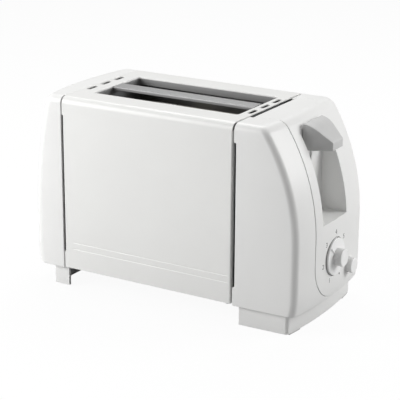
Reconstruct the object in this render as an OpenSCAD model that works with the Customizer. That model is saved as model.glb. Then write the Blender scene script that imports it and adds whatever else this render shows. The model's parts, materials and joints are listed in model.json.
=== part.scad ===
// Two-slice pop-up toaster.
// +X points to the control end, -Y is the front, +Z is up.
// The origin is on the table, in the middle of the whole outline.

/* [Body] */
// Length of the steel shell between the end caps
shell_l = 178.8; // [165:0.2:220]
// Width of the shell, front to back
shell_w = 133.6; // [128:0.2:162]
// Height of the shell's sides
shell_h = 165; // [150:1:200]
// Thickness of the shell's steel
shell_t = 1; // [0.8:0.1:1.5]
// Outer radius of the shell's long top edges
edge_r = 7; // [5:0.5:9]
// Height of the shell's lower edge above the table
foot_h = 20; // [18:0.5:26]
// Gap between the shell and each end cap
seam_gap = 1.4; // [0.8:0.1:2]
// Depth of the hem turned in along the shell's lower edges
hem_w = 9; // [8:0.5:11]

/* [End caps] */
// Length of the left cap, from the shell's edge
left_l = 41.5; // [38:0.5:50]
// Length of the right cap, from the shell's edge
right_l = 68.7; // [64:0.1:80]
// How far the middle of the left end stands proud of its corners
left_bulge = 7.5; // [3:0.5:9]
// How far the middle of the right end stands proud of its corners
right_bulge = 5; // [3:0.5:8]
// How far a cap's front and back draw in towards its end
side_taper = 2; // [1:0.1:3]
// Radius of the curve that leans the left end inwards
left_lean_r = 440; // [400:10:600]
// Radius of the curve that leans the right end inwards
right_lean_r = 181; // [165:1:230]
// Height of the right end's upright stretch above the shell's lower edge
right_upright = 60; // [45:1:65]
// Height of the left end's upright stretch above the shell's lower edge
left_upright = 50; // [40:1:70]
// Wall thickness of the mouldings
cap_wall = 2.6; // [2:0.1:3.2]
// How far the caps reach below the shell's lower edge
cap_drop = 1.2; // [0.8:0.1:2]

/* [Slots] */
// Length of the bread slots
slot_l = 152; // [140:1:154]
// Width of one bread slot
slot_w = 30.5; // [26:0.5:32]
// Width of the bar between the slots
divider_w = 15.2; // [12:0.2:16]
// Depth of the rim turned down round the slots
rim_d = 4.4; // [3:0.1:6]
// Distance from the shell's left edge to the slots
slot_inset = 16; // [13:0.5:18]
// Length of one vent dash beside the slots
dash_l = 15; // [10:1:18]
// Width of one vent dash
dash_w = 2.8; // [1.5:0.1:3.5]

/* [Controls] */
// Travel of the lift lever
lever_travel = 60; // [50:1:62]
// Width of the finger recess that the lever runs in
recess_w = 47; // [44:1:52]
// Height of the recess floor above the shell's lower edge
recess_floor = 72; // [70:1:75]
// Depth of the recess behind the end's most proud line
recess_d = 26.6; // [24:0.2:28]
// Width of the lever's knob at its root
knob_w = 36.4; // [30:0.2:40]
// Width of the lever's knob at its tip
knob_tip_w = 20; // [14:0.5:26]
// Height of the lever's knob
knob_h = 23.4; // [18:0.2:25]
// Length of the lever's knob
knob_l = 25.8; // [22:0.2:28]
// Height of the browning dial above the shell's lower edge
dial_z = 37.5; // [36:0.5:40]
// Radius of the browning dial's disc
dial_r = 17; // [14:0.5:18]
// Radius of the browning dial's grip
grip_r = 8; // [7:0.5:10]
// Length of the browning dial's grip
grip_l = 8; // [7:0.5:12]
// Distance of the cancel button from the middle
button_y = 31.5; // [29:0.5:32]
// Height of the cancel button above the shell's lower edge
button_z = 19.5; // [18:0.5:22]
// Radius of the cancel button
button_r = 7; // [5:0.5:7.5]
// Travel of the cancel button
button_travel = 2.5; // [1.5:0.1:3]

/* [Inside] */
// Thickness of the chassis plates and the base plate
plate_t = 1.2; // [0.8:0.1:1.6]
// Radius of the carriage's guide rod
rod_r = 2.5; // [2:0.1:3]
// Radial clearance of the sliding and turning fits
run_fit = 0.05; // [0.03:0.01:0.1]
// Radius of the hole for the mains cord
cord_r = 3.6; // [3:0.1:4]
// Length that the crumb tray slides out
tray_travel = 110; // [80:5:120]

/* [Hidden] */

$fn = 64;
arc_fn = 360;          // facets of the long, shallow curves
gap = 0.3;             // clearance between neighbouring fixed pieces
slip = 0.4;            // clearance round pieces that slide past each other
eps = 0.01;
blend = 0.05;          // how far an arc's centre is moved to cross its flats
far = 400;

// Places along X. The dial stands furthest out at the control end.
disc_t = 1.8;
dial_gap = 0.5;
dial_out = dial_gap + disc_t + grip_l;
total_l = left_l + shell_l + right_l + dial_out;
x_left = -total_l / 2;
x_s0 = x_left + left_l;
x_s1 = x_s0 + shell_l;
x_end = x_s1 + right_l;
x_mid = (x_s0 + x_s1) / 2;

// Heights
z0 = foot_h;
z_top = foot_h + shell_h;
half_w = shell_w / 2;
base_z = z0 + shell_t;
floor_z = base_z + plate_t;
skirt_in = cap_wall + gap;
pad_h = 0.8;
skirt_wall = 2.8;

// Slots
open_w = 2 * slot_w + divider_w;
x_o0 = x_s0 + slot_inset;
x_o1 = x_o0 + slot_l;
slot_y = divider_w / 2 + slot_w / 2;
x_c0 = x_o0 - rim_d - plate_t;         // inner faces of the chassis plates
x_c1 = x_o1 + rim_d + gap;
x_c0_in = x_c0 + plate_t;

// Oven pieces
guard_r = 0.8;
guard_out_y = open_w / 2 - 2.2;
guard_in_y = divider_w / 2 + 2.2;
mica_t = 0.8;
mica_y = open_w / 2 + 4;
mica_z0 = floor_z + 8;
mica_h = shell_h - 36;
ribbon_t = 0.3;
ribbon_w = 1.8;
ribbons = 11;
reflector_y = mica_y + 5;
reflector_t = 0.6;

// Lift carriage at rest, with the bread raised
x_carr = x_c1 + plate_t + 8;
carr_t = 1.4;
rack_t = 1.6;
rack_h = 9;
rack_z = z0 + recess_floor + 12;
rod_x = x_carr + carr_t + 6;
rod_y = -14;
bush_r = 5.5;
bush_h = 18;
bush_z = rack_z - 4;
knob_z = z0 + recess_floor + 4.3 + lever_travel;
x_recess = x_end - recess_d;
x_knob = x_recess + slip;
arm_t = 2.4;
arm_h = 8;
arm_z = knob_z + 6;
arm_slot_w = 5.2;
neck_w = 12;
foot_y0 = 4;
foot_y1 = 20;
foot_x1 = x_carr + carr_t + 17;
armature_t = 1.8;
armature_z = bush_z - 2 - armature_t;
core_top = armature_z - lever_travel - 0.2;
spring_r = 4;
spring_wire_r = 0.6;
spring_turns = 14;
bracket_z = z_top - 16;

// Control panel
panel_y0 = -35.5;
panel_y1 = 46;
panel_proud = 0.4;
panel_r0 = 35.5;
panel_r1 = 30;
panel_z = z0 + 0.8;
panel_top_x = x_s1 + 5.3;
panel_wall = 2.2;
dial_zz = z0 + dial_z;
button_zz = z0 + button_z;
shaft_r = 3;
board_x = x_end - 42;
board_t = 1.6;
board_y0 = -30;
board_y1 = 42;
board_z0 = z0 + 8;
board_z1 = z0 + recess_floor - 9;
pot_l = 9;
button_face_x = x_end - 1.2 + panel_proud;
button_proud = 6.5;
switch_l = 6;
stem_r = 2.5;
post_r = 3.2;
screw_r = 1.5;
screw_head_r = 3;
screw_head_h = 1.8;
posts = [
    [panel_y0 + 13.5, z0 + 18],
    [panel_y0 + 9.5, board_z1 - 6],
    [panel_y1 - 10, board_z1 - 6],
    [12, z0 + 12]
];

// Crumb tray
tray_t = 1;
tray_y0 = -44;
tray_x0 = x_c0 + 3;
tray_x1 = x_c1 - 3;
tray_z = base_z - 8;
tray_h = 6;
rail_t = 1.2;
rail_in = 4;

boss_r = 4.5;
boss_h = 28;
boss_in = 10.2;
cap_bosses = [
    [x_s0 - 20, 1], [x_s0 - 20, -1], [x_s1 + 46, 1], [x_s1 + 46, -1]
];
chassis_screw_y = 50;
hem_screw_y = half_w - 6;

// ---------- shapes that several pieces share ----------

// Sets a flat outline, drawn in Y and Z, standing along X from x0 to x1
module along_x(x0, x1) {
    translate([x0, 0, 0]) rotate([90, 0, 90]) linear_extrude(x1 - x0) children();
}

// Sets a flat outline, drawn in X and Z, standing along Y from y0 to y1
module along_y(y0, y1) {
    translate([0, y1, 0]) rotate([90, 0, 0]) linear_extrude(y1 - y0) children();
}

module block(x0, x1, y0, y1, za, zb) {
    translate([x0, y0, za]) cube([x1 - x0, y1 - y0, zb - za]);
}

// The body's cross-section, drawn in by inset, from height low up to its top.
// Each corner's arc starts a hair outside the flats, so it meets them at a slight angle.
module section(inset, low) {
    r = max(edge_r - inset, 0.6);
    w = half_w - inset;
    top = z_top - inset;
    c = r - blend;
    difference() {
        translate([-w, low]) square([2 * w, top - low]);
        for (s = [-1, 1]) difference() {
            translate([min(s * (w - c), s * (w + 1)), top - c]) square(c + 1);
            translate([s * (w - c), top - c]) circle(r);
        }
    }
}

function arc_radius(half, rise) = (half * half + rise * rise) / (2 * rise);

left_bulge_r = arc_radius(half_w - side_taper, left_bulge);
right_bulge_r = arc_radius(half_w - side_taper, right_bulge);
left_side_r = arc_radius(left_l, side_taper);
right_side_r = arc_radius(right_l, side_taper);

// Plans of the ends without their bulge, drawn in by inset at the sides
module right_sides(inset) {
    intersection() {
        translate([x_s1, half_w - right_side_r]) circle(right_side_r - inset, $fn = arc_fn);
        translate([x_s1, right_side_r - half_w]) circle(right_side_r - inset, $fn = arc_fn);
        translate([x_s1 - 20, -half_w]) square([right_l + 25, shell_w]);
    }
}

module left_sides(inset) {
    intersection() {
        translate([x_s0, half_w - left_side_r]) circle(left_side_r - inset, $fn = arc_fn);
        translate([x_s0, left_side_r - half_w]) circle(left_side_r - inset, $fn = arc_fn);
        translate([x_left - 5, -half_w]) square([left_l + 25, shell_w]);
    }
}

// Plans of the ends at their foot, drawn in by inset at the sides and end_in at the end
module right_plan(inset, end_in) {
    intersection() {
        translate([x_end - right_bulge_r, 0]) circle(right_bulge_r - end_in, $fn = arc_fn);
        right_sides(inset);
    }
}

module left_plan(inset, end_in) {
    intersection() {
        translate([x_left + left_bulge_r, 0]) circle(left_bulge_r - end_in, $fn = arc_fn);
        left_sides(inset);
    }
}

// An end face: upright up to z_up, then leaning in, and bulging in plan.
// It is the outside of a turned form of radius r about the vertical line at x.
module turned_end(x, r, lean_r, z_up, inset) {
    translate([x, 0, 0]) rotate_extrude($fn = arc_fn) intersection() {
        square([r - inset, z_top + 5]);
        union() {
            square([r - inset, z_up]);
            translate([r - lean_r + blend, z_up]) circle(lean_r - inset, $fn = arc_fn);
        }
    }
}

// Solid outline of each end, drawn in by inset, between the seam and its end
module right_form(inset, x0, low) {
    intersection() {
        along_x(x0, x_end + 5) section(inset, low);
        linear_extrude(far) right_sides(inset);
        turned_end(x_end - right_bulge_r, right_bulge_r, right_lean_r, z0 + right_upright, inset);
    }
}

module left_form(inset, x1, low) {
    intersection() {
        along_x(x_left - 5, x1) section(inset, low);
        linear_extrude(far) left_sides(inset);
        turned_end(x_left + left_bulge_r, left_bulge_r, left_lean_r, z0 + left_upright, inset);
    }
}

// Face of the control panel in Y and Z, grown by grow
module panel_outline(grow) {
    low = panel_z - grow;
    y0 = panel_y0 - grow;
    y1 = panel_y1 + grow;
    r0 = panel_r0 + grow;
    r1 = panel_r1 + grow;
    translate([y0, low + r0]) square([y1 - y0, far]);
    translate([y1 - r1, low + r1]) square([r1, far]);
    translate([y0 + r0, low]) square([y1 - r1 - y0 - r0, far]);
    translate([y0 + r0, low + r0]) circle(r0);
    translate([y1 - r1, low + r1]) circle(r1);
}

// Vertical screw with its head under the base plate
module base_screw(x, y, top) {
    translate([x, y, base_z - shell_t - screw_head_h]) cylinder(r = screw_head_r, h = screw_head_h);
    translate([x, y, base_z - shell_t - eps]) cylinder(r = screw_r, h = top - base_z + shell_t);
}

module screw_hole(x, y, r) {
    translate([x, y, z0 - 5]) cylinder(r = r, h = 20);
}

// ---------- outside ----------

module outer_shell() {
    color("white") {
        difference() {
            along_x(x_s0, x_s1) difference() {
                section(0, z0);
                section(shell_t, z0 - 1);
            }
            block(x_o0, x_o1, -open_w / 2, open_w / 2, z_top - 5, z_top + 5);
            for (x = [x_s0 + 5.4, x_s1 - 4.6], i = [-1, 0, 1])
                block(x - dash_w / 2, x + dash_w / 2, i * 22.5 - dash_l / 2,
                      i * 22.5 + dash_l / 2, z_top - 5, z_top + 5);
        }
        difference() {
            block(x_o0 - shell_t, x_o1 + shell_t, -open_w / 2 - shell_t, open_w / 2 + shell_t,
                  z_top - rim_d, z_top - shell_t / 2);
            block(x_o0, x_o1, -open_w / 2, open_w / 2, z_top - 10, z_top + 1);
        }
        for (s = [-1, 1]) difference() {
            block(x_s0, x_s1, min(s * half_w, s * (half_w - hem_w)),
                  max(s * half_w, s * (half_w - hem_w)), z0, z0 + shell_t);
            for (x = [x_s0 + 5, x_s1 - 5]) screw_hole(x, s * hem_screw_y, screw_r + gap);
        }
    }
}

module slot_divider() {
    w = divider_w / 2;
    color("silver") difference() {
        union() {
            block(x_o0 + gap, x_o1 - gap, -w, w, z_top - 3, z_top);
            block(x_c0_in, x_c1, -w, w, z_top - 15, z_top - rim_d - gap);
            block(x_o0 + gap, x_o1 - gap, -w, w, z_top - 8, z_top - 2);
        }
        block(x_c0_in - 1, x_c1 + 1, -w + 1, w - 1, z_top - 20, z_top - 1);
    }
}

module left_end_cap() {
    low = z0 - cap_drop;
    color("white") {
        difference() {
            left_form(0, x_s0 - seam_gap, low);
            left_form(cap_wall, x_s0 + 1, low - 1);
            for (s = [-1, 1]) vent_relief(x_s0 - seam_gap, s, -1);
        }
        intersection() {
            bosses(0);
            left_form(0.5, x_s0, floor_z);
        }
    }
}

// Widened stretch of the seam, where air leaves the casing
module vent_relief(x, s, dir) {
    block(min(x, x + dir), max(x, x + dir), s * half_w - 4, s * half_w + 4, z0 + 16, z0 + 148);
}

// Screw bosses of the two caps that stand at end i
module bosses(i) {
    for (k = [2 * i, 2 * i + 1]) {
        x = cap_bosses[k][0];
        s = cap_bosses[k][1];
        difference() {
            union() {
                translate([x, s * (half_w - boss_in), floor_z]) cylinder(r = boss_r, h = boss_h);
                block(x - 1.2, x + 1.2, min(s * (half_w - boss_in), s * half_w),
                      max(s * (half_w - boss_in), s * half_w), floor_z, floor_z + boss_h);
            }
            translate([x, s * (half_w - boss_in), floor_z - 1]) cylinder(r = screw_r, h = 14);
        }
    }
}

module right_end_cap() {
    low = z0 - cap_drop;
    color("white") {
        difference() {
            right_form(0, x_s1 + seam_gap, low);
            right_form(cap_wall, x_s1 - 1, low - 1);
            along_x(panel_top_x - gap, x_end + 5) panel_outline(gap);
            for (s = [-1, 1]) vent_relief(x_s1 + seam_gap, s, 1);
            block(x_s1, x_s1 + seam_gap + 1.8, -open_w / 2, open_w / 2, z_top - 4, z_top + 1);
        }
        intersection() {
            bosses(1);
            right_form(0.5, x_s1, floor_z);
        }
    }
}

module control_panel() {
    top_recess = z_top + 10;
    hw = recess_w / 2;
    x_in = x_end - 44;
    color("white") difference() {
        union() {
            intersection() {
                along_x(panel_top_x, x_end + 5) panel_outline(0);
                difference() {
                    right_form(-panel_proud, panel_top_x, z0 - 1);
                    right_form(cap_wall, x_s1 - 1, z0 - 2);
                }
                block(x_s1, x_end + 5, -half_w, half_w, z0 - 2, z_top);
            }
            intersection() {
                block(x_recess - panel_wall, x_end + 5, -hw - panel_wall, hw + panel_wall,
                      z0 + recess_floor - panel_wall, z_top);
                right_form(cap_wall / 2, x_s1, z0);
            }
            intersection() {
                for (p = posts) translate([board_x + board_t, p[0], p[1]]) rotate([0, 90, 0])
                    cylinder(r = post_r, h = far);
                right_form(cap_wall / 2, x_s1, z0);
            }
        }
        block(x_recess, x_end + 9, -hw, hw, z0 + recess_floor, top_recess);
        block(x_recess - 9, x_recess + 1, -arm_slot_w / 2, arm_slot_w / 2,
              arm_z - lever_travel - 2, arm_z + arm_h + 2);
        translate([x_in, 0, dial_zz]) rotate([0, 90, 0]) cylinder(r = shaft_r + 1, h = far);
        translate([x_in, button_y, button_zz]) rotate([0, 90, 0])
            cylinder(r = button_r + slip, h = far);
        for (p = posts) translate([board_x, p[0], p[1]]) rotate([0, 90, 0])
            cylinder(r = screw_r, h = 14);
    }
}

// ---------- base ----------

module base_outline(grow) {
    w = half_w - shell_t - gap;
    translate([x_s0 - 2, -w + 2]) square([shell_l + 4, 2 * w - 4]);
    translate([x_s0 + gap, -w]) square([shell_l - 2 * gap, 2 * w]);
    intersection() {
        left_plan(cap_wall + gap, cap_wall + gap);
        translate([x_left - 5, -far / 2]) square([left_l + 4.6 - seam_gap, far]);
    }
    intersection() {
        right_plan(cap_wall + gap, cap_wall + gap);
        translate([x_s1 + seam_gap + gap, -far / 2]) square([right_l, far]);
    }
}

module base_plate() {
    color("silver") difference() {
        translate([0, 0, base_z]) linear_extrude(plate_t) base_outline(0);
        block(x_c0_in + 6, x_c1 - 6, -open_w / 2, open_w / 2, base_z - 1, floor_z + 1);
        for (b = cap_bosses) screw_hole(b[0], b[1] * (half_w - boss_in), screw_r + gap);
        for (x = [x_c0 - 5, x_c1 + plate_t + 5], s = [-1, 1])
            screw_hole(x, s * chassis_screw_y, screw_r + gap);
        for (x = [x_s0 + 5, x_s1 - 5], s = [-1, 1])
            screw_hole(x, s * hem_screw_y, screw_r + gap);
        translate([x_s1 + 30, half_w - 26, base_z - 1]) cylinder(r = 5, h = 9);
    }
}

// A skirt's wall in plan: a ring that is open towards the middle of the toaster
module right_skirt_plan(inset) {
    intersection() {
        right_plan(skirt_in + inset, 8.4 + inset);
        translate([x_s1 + 7.4, -far / 2]) square([right_l, far]);
    }
}

module right_foot_skirt() {
    color("white") difference() {
        translate([0, 0, pad_h]) linear_extrude(base_z - pad_h) difference() {
            right_skirt_plan(0);
            right_plan(skirt_in + skirt_wall, 8.4 + skirt_wall);
        }
        translate([x_s1 + 26, 0, 10]) rotate([-90, 0, 0])
            cylinder(r = cord_r + 2, h = far);
    }
}

module left_foot_skirt() {
    x0 = x_s0 - 14.4;
    w = half_w - skirt_in;
    color("white") difference() {
        block(x0, x_s0 + 2, -w, w, pad_h, base_z - shell_t);
        block(x0 + skirt_wall, x_s0 + 3, -w + skirt_wall, w - skirt_wall, 0, z0 + 5);
        for (s = [-1, 1]) hem_relief(x0, s);
    }
}

module hem_relief(x0, s) {
    block(x_s0 - seam_gap - gap, x_s0 + 5, s * half_w - 12, s * half_w + 12, z0 - gap, z0 + 5);
}

pad_l = 16;

module rubber_pads() {
    color("dimgray") {
        for (s = [-1, 1]) {
            translate([x_s0 - 14.4, s * (half_w - skirt_in - 6 - pad_l / 2) - pad_l / 2, 0])
                cube([skirt_wall, pad_l, pad_h]);
        }
        for (s = [-1, 1]) intersection() {
            translate([x_s1, s * (half_w - skirt_in - 5 - pad_l / 2) - pad_l / 2, 0])
                cube([right_l, pad_l, pad_h]);
            linear_extrude(pad_h) difference() {
                right_plan(skirt_in, 8.4);
                right_plan(skirt_in - 5, 8.4 + skirt_wall);
            }
        }
    }
}

// Two folded rails under the base plate that carry the crumb tray
module tray_rails() {
    low = tray_z - slip - rail_t;
    color("silver") for (s = [0, 1]) {
        x_web = s == 0 ? tray_x0 - slip - rail_t : tray_x1 + slip;
        x_lip = s == 0 ? x_web : x_web - rail_in;
        block(x_web, x_web + rail_t, tray_y0 + 6, half_w - 10, low, base_z);
        block(x_lip, x_lip + rail_t + rail_in, tray_y0 + 6, half_w - 10, low, low + rail_t);
    }
}

module crumb_tray() {
    y1 = half_w - 3;
    color("silver") {
        difference() {
            block(tray_x0, tray_x1, tray_y0, y1 - 4, tray_z, tray_z + tray_h);
            block(tray_x0 + tray_t, tray_x1 - tray_t, tray_y0 + tray_t, y1 - 4 - tray_t,
                  tray_z + tray_t, tray_z + tray_h + 1);
        }
        block(x_mid - 30, x_mid + 30, y1 - 4 - tray_t, y1, tray_z, tray_z + tray_t);
        block(x_mid - 30, x_mid + 30, y1 - 1.2, y1, tray_z, tray_z + tray_h - 1);
    }
}

// ---------- oven ----------

// A chassis plate standing at x, with its foot turned out towards dir
module chassis(x, dir) {
    in = shell_t + gap;
    fx = dir > 0 ? x + plate_t - eps : x - 9;
    difference() {
        union() {
            along_x(x, x + plate_t) section(in, floor_z);
            for (s = [-1, 1])
                block(fx, fx + 9 + eps, s * chassis_screw_y - 7, s * chassis_screw_y + 7,
                      floor_z, floor_z + plate_t);
        }
        for (s = [-1, 1]) {
            screw_hole(dir > 0 ? x + plate_t + 5 : x - 5, s * chassis_screw_y, screw_r + gap);
            block(x - 1, x + plate_t + 1, s * slot_y - rack_t / 2 - slip,
                  s * slot_y + rack_t / 2 + slip,
                  rack_z - lever_travel - 3, rack_z + rack_h + 4);
            block(x - 1, x + plate_t + 1, s * half_w - 9, s * half_w + 9,
                  floor_z - 1, floor_z + 3);
        }
        for (y = [-mica_y, 0, mica_y], z = tab_z)
            block(x - 1, x + plate_t + 1, y - mica_t / 2 - 0.15, y + mica_t / 2 + 0.15,
                  z - 0.2, z + tab_h + 0.2);
        block(x - 1, x + plate_t + 1, -half_w, half_w, z_top - 1, z_top + 5);
    }
}

tab_h = 6;
tab_z = [mica_z0 + 12, mica_z0 + mica_h - 24];

module chassis_left() {
    color("silver") chassis(x_c0, -1);
}

module chassis_right() {
    color("silver") {
        difference() {
            chassis(x_c1, 1);
            block(x_c1 - 1, x_c1 + 3, -open_w / 2, open_w / 2, z_top - rim_d + 2, z_top);
        }
        difference() {
            block(x_c1 + plate_t - eps, rod_x + 5, rod_y - 6, rod_y + 6, bracket_z,
                  bracket_z + plate_t);
            translate([rod_x, rod_y, bracket_z - 1]) cylinder(r = rod_r, h = 5);
        }
    }
}

module reflector(s) {
    w = reflector_t / 2;
    color("lightgray") {
        block(x_c0_in, x_c1, s * reflector_y - w, s * reflector_y + w, floor_z, z_top - 12);
        block(x_c0_in, x_c1, s * reflector_y - (s > 0 ? 6 : -w + eps),
              s * reflector_y + (s > 0 ? -w + eps : 6), z_top - 12.6, z_top - 12);
    }
}

module reflector_front() {
    reflector(-1);
}

module reflector_back() {
    reflector(1);
}

// Mica board at y, with tabs that sit in the chassis plates
module mica(y) {
    color("wheat") {
        block(x_c0_in + 1, x_c1 - 1, y - mica_t / 2, y + mica_t / 2, mica_z0, mica_z0 + mica_h);
        for (z = tab_z)
            block(x_c0 - 1, x_c1 + plate_t + 1, y - mica_t / 2, y + mica_t / 2, z, z + tab_h);
    }
}

// Heating ribbon wound round the board at y
module ribbon(y) {
    pitch = (mica_h - 2 * ribbon_w) / ribbons;
    w = mica_t / 2;
    color("peru") for (i = [0 : ribbons - 1]) {
        z = mica_z0 + pitch * (i + 0.5);
        x0 = x_c0_in + 1;
        x1 = x_c1 - 1;
        at_tab = [for (t = tab_z) if (z + ribbon_w > t && z < t + tab_h) t];
        if (len(at_tab) == 0) difference() {
            block(x0 - ribbon_t, x1 + ribbon_t, y - w - ribbon_t, y + w + ribbon_t,
                  z, z + ribbon_w);
            block(x0, x1, y - w, y + w, z - 1, z + ribbon_w + 1);
        }
    }
}

module mica_front() {
    mica(-mica_y);
}

module mica_centre() {
    mica(0);
}

module mica_back() {
    mica(mica_y);
}

module ribbon_front() {
    ribbon(-mica_y);
}

module ribbon_centre() {
    ribbon(0);
}

module ribbon_back() {
    ribbon(mica_y);
}

// Wire guard that keeps the bread off the heating ribbon
module guard(y) {
    wires = 8;
    z_lo = floor_z + 6;
    z_hi = z_top - 22;
    step = (x_c1 - x_c0_in - 16) / (wires - 1);
    color("gainsboro") {
        for (z = [z_lo, z_hi])
            translate([x_c0_in, y, z]) rotate([0, 90, 0])
                cylinder(r = guard_r + 0.2, h = x_c1 - x_c0_in);
        for (i = [0 : wires - 1])
            translate([x_c0_in + 8 + i * step, y, z_lo]) cylinder(r = guard_r, h = z_hi - z_lo);
    }
}

module guard_front_outer() {
    guard(-guard_out_y);
}

module guard_front_inner() {
    guard(-guard_in_y);
}

module guard_back_inner() {
    guard(guard_in_y);
}

module guard_back_outer() {
    guard(guard_out_y);
}

// ---------- lift ----------

module guide_rod() {
    color("silver") translate([rod_x, rod_y, floor_z]) cylinder(r = rod_r, h = bracket_z - floor_z + 3);
}

module lift_spring() {
    h = bush_z - floor_z - 2 * spring_wire_r;
    color("darkgray") translate([rod_x, rod_y, floor_z + spring_wire_r])
        linear_extrude(h, twist = -360 * spring_turns, slices = spring_turns * 12, $fn = 8)
            translate([spring_r, 0]) circle(spring_wire_r, $fn = 8);
}

module carriage_plate() {
    x0 = x_carr;
    x1 = x_carr + carr_t;
    color("silver") {
        block(x0, x1, -slot_y - 5, slot_y + 5, rack_z - 4, rack_z + rack_h + 4);
        block(x0, x1, -neck_w / 2, neck_w / 2, rack_z, arm_z + arm_h);
        block(x0, foot_x1, foot_y0, foot_y1, armature_z + armature_t, armature_z + armature_t + 2);
    }
}

module carriage_bush() {
    x1 = x_carr + carr_t;
    color("ivory") difference() {
        union() {
            translate([rod_x, rod_y, bush_z]) cylinder(r = bush_r, h = bush_h);
            block(x1, rod_x, rod_y - bush_r, rod_y + bush_r, bush_z, bush_z + bush_h);
        }
        translate([rod_x, rod_y, bush_z - 1]) cylinder(r = rod_r + run_fit, h = bush_h + 2);
    }
}

// Blade under one slice, with cross wires that the bread stands on
module bread_rack(y) {
    bars = 6;
    step = (x_o1 - x_o0 - 20) / (bars - 1);
    bar_l = guard_out_y - guard_in_y - 8;
    color("silver") {
        block(x_c0 - 3, x_carr, y - rack_t / 2, y + rack_t / 2, rack_z, rack_z + rack_h);
        for (i = [0 : bars - 1])
            translate([x_o0 + 10 + i * step, y - bar_l / 2, rack_z + rack_h]) rotate([-90, 0, 0])
                cylinder(r = 1, h = bar_l);
    }
}

module bread_rack_front() {
    bread_rack(-slot_y);
}

module bread_rack_back() {
    bread_rack(slot_y);
}

module lever_arm() {
    color("silver") block(x_carr + carr_t, x_knob + 9, -arm_t / 2, arm_t / 2, arm_z, arm_z + arm_h);
}

module lever_knob() {
    tip_h = 7.9;
    x1 = x_knob + knob_l;
    flat = 7;
    w = knob_w / 2;
    t = knob_tip_w / 2;
    color("white") difference() {
        intersection() {
            along_y(-w, w) polygon([
                [x_knob, knob_z], [x1, knob_z + 0.4], [x1, knob_z + tip_h],
                [x_knob + flat, knob_z + knob_h], [x_knob, knob_z + knob_h]
            ]);
            translate([0, 0, knob_z - 1]) linear_extrude(knob_h + 2) polygon([
                [x_knob, -w], [x_knob + flat, -w], [x1, -t], [x1, t],
                [x_knob + flat, w], [x_knob, w]
            ]);
        }
        block(x_knob - 1, x_knob + 9, -arm_t / 2, arm_t / 2, arm_z, arm_z + arm_h);
    }
}

module armature_plate() {
    color("dimgray") block(x_carr + carr_t + 1, foot_x1, foot_y0, foot_y1, armature_z,
                           armature_z + armature_t);
}

// ---------- electrics ----------

module magnet_core() {
    x0 = x_carr + carr_t + 3;
    x1 = foot_x1 - 2;
    leg = 4.4;
    color("dimgray") {
        block(x0, x1, foot_y0, foot_y1, floor_z, floor_z + 4);
        block(x0, x1, foot_y0, foot_y0 + leg, floor_z, core_top);
        block(x0, x1, foot_y1 - leg, foot_y1, floor_z, core_top);
    }
}

module magnet_coil() {
    x0 = x_carr + carr_t + 3;
    x1 = foot_x1 - 2;
    leg = 4.4;
    wall = 2.4;
    color("sienna") difference() {
        block(x0 - wall, x1 + wall, foot_y0 - wall, foot_y0 + leg + wall, floor_z + 4.2,
              core_top - 1.5);
        block(x0 - gap, x1 + gap, foot_y0 - gap, foot_y0 + leg + gap, floor_z, core_top + 5);
    }
}

module circuit_board() {
    color("darkgreen") difference() {
        block(board_x, board_x + board_t, board_y0, board_y1, board_z0, board_z1);
        for (p = posts) translate([board_x - 1, p[0], p[1]]) rotate([0, 90, 0])
            cylinder(r = screw_r + gap, h = 5);
    }
}

module potentiometer() {
    x0 = board_x + board_t;
    color("slategray") difference() {
        union() {
            translate([x0, 0, dial_zz]) rotate([0, 90, 0]) cylinder(r = 8, h = pot_l);
            block(x0, x0 + 5, -8, 8, dial_zz - 12, dial_zz);
        }
        translate([x0 + 2, 0, dial_zz]) rotate([0, 90, 0])
            cylinder(r = shaft_r + run_fit, h = pot_l);
    }
}

module dial_shaft() {
    x0 = board_x + board_t + 2 + gap;
    color("silver") translate([x0, 0, dial_zz]) rotate([0, 90, 0])
        cylinder(r = shaft_r, h = x_end + dial_gap + disc_t + 4 - x0);
}

module browning_dial() {
    x0 = x_end + dial_gap;
    color("white") difference() {
        union() {
            translate([x0, 0, dial_zz]) rotate([0, 90, 0])
                cylinder(r = dial_r, h = disc_t);
            translate([x0, 0, dial_zz]) rotate([0, 90, 0])
                cylinder(r = grip_r, h = disc_t + grip_l);
        }
        translate([x0 - 1, 0, dial_zz]) rotate([0, 90, 0])
            cylinder(r = shaft_r, h = disc_t + 5);
    }
}

module cancel_switch() {
    x0 = board_x + board_t;
    color("dimgray") block(x0, x0 + switch_l, button_y - 4, button_y + 4, button_zz - 4,
                           button_zz + 4);
}

module cancel_button() {
    x_in = button_face_x - cap_wall - panel_proud - 2.5;
    color("white") translate([0, button_y, button_zz]) rotate([0, 90, 0]) {
        translate([0, 0, x_in]) cylinder(r = button_r, h = button_face_x + button_proud - x_in);
        translate([0, 0, x_in - 1.6]) cylinder(r = button_r + 1.6, h = 1.6);
        translate([0, 0, board_x + board_t + switch_l + button_travel + 0.2])
            cylinder(r = stem_r, h = x_in - board_x - board_t - switch_l - button_travel - 1);
    }
}

module contact_block() {
    x0 = x_carr + carr_t + 3;
    color("black") block(x0, x0 + 16, -half_w + 30, -half_w + 42, floor_z, floor_z + 14);
    color("gold") for (i = [0, 1])
        block(x0 + 3 + 8 * i, x0 + 6 + 8 * i, -half_w + 32, -half_w + 33, floor_z + 14,
              floor_z + 20);
}

module terminal_block() {
    x0 = x_s1 + 12;
    color("ivory") difference() {
        block(x0, x0 + 12, half_w - 40, half_w - 16, floor_z, floor_z + 12);
        for (i = [0, 1, 2])
            block(x0 + 4, x0 + 8, half_w - 38 + 8 * i, half_w - 34 + 8 * i, floor_z + 6,
                  floor_z + 13);
    }
}

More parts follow.
